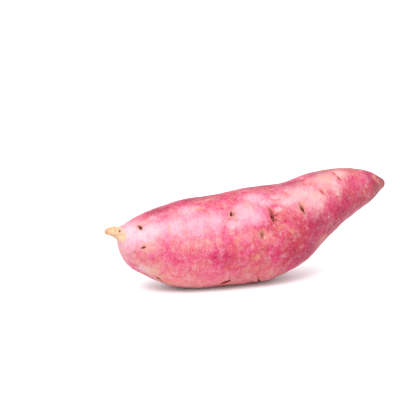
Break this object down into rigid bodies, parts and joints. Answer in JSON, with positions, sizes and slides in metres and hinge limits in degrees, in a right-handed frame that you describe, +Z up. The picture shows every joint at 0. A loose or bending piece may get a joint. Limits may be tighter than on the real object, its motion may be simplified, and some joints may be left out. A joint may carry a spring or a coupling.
{
  "type": "sweet potato",
  "caption": "Whole raw sweet potato, a plump spindle with a raised tapering tip and a short tail stub, lying on a flat spot of its belly.",
  "frame": {"origin": "bottom centre of the root's bounding box, at the height of the flat spot that it rests on", "axes": "+X along the root, from the stub of its tail to its raised tip; +Z up; +Y across it"},
  "size_m": [0.1966, 0.0618, 0.0687],
  "materials": {
    "skin": "satin"
  },
  "bodies": {
    "root": {"sweet_potato": "skin"}
  },
  "joints": []
}
